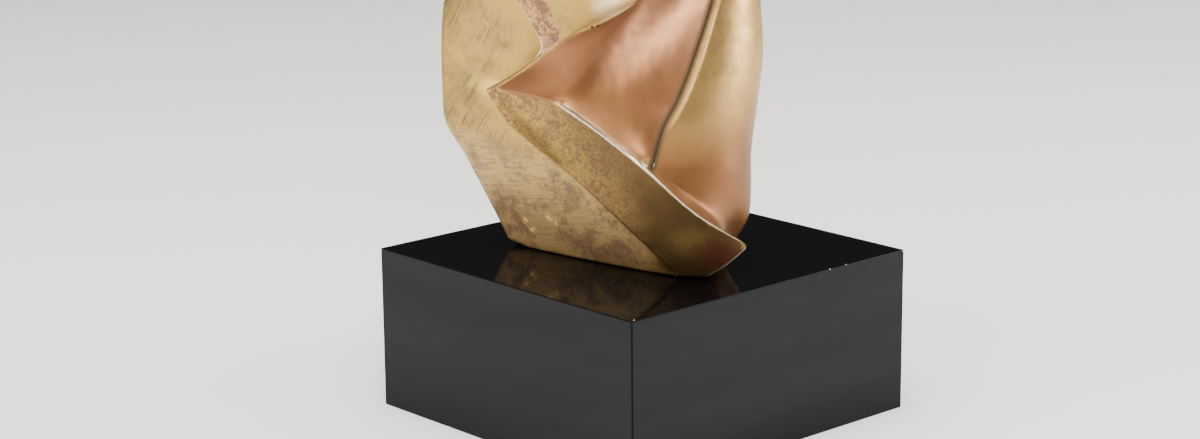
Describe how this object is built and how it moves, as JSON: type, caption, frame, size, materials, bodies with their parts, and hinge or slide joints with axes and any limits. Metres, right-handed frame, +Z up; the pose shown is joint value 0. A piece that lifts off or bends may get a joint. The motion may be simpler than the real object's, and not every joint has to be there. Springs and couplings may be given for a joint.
{
  "type": "modernist bust",
  "caption": "Cast bronze bust with a calm stylised head and a sleeve of sharp planes across the chest, on a square glossy black plinth.",
  "frame": {"origin": "middle of the plinth's underside", "axes": "+Z up, -Y the way the figure faces, +X the figure's left; the plinth's sides are square to X and Y"},
  "size_m": [0.305, 0.305, 0.7052],
  "materials": {
    "polished_bronze": "satin polish with golden and copper-brown planes, rubbed bright on its edges",
    "black_lacquer": "high gloss black lacquer"
  },
  "bodies": {
    "root": {"bronze_bust": "polished_bronze", "plinth": "black_lacquer"}
  },
  "joints": []
}
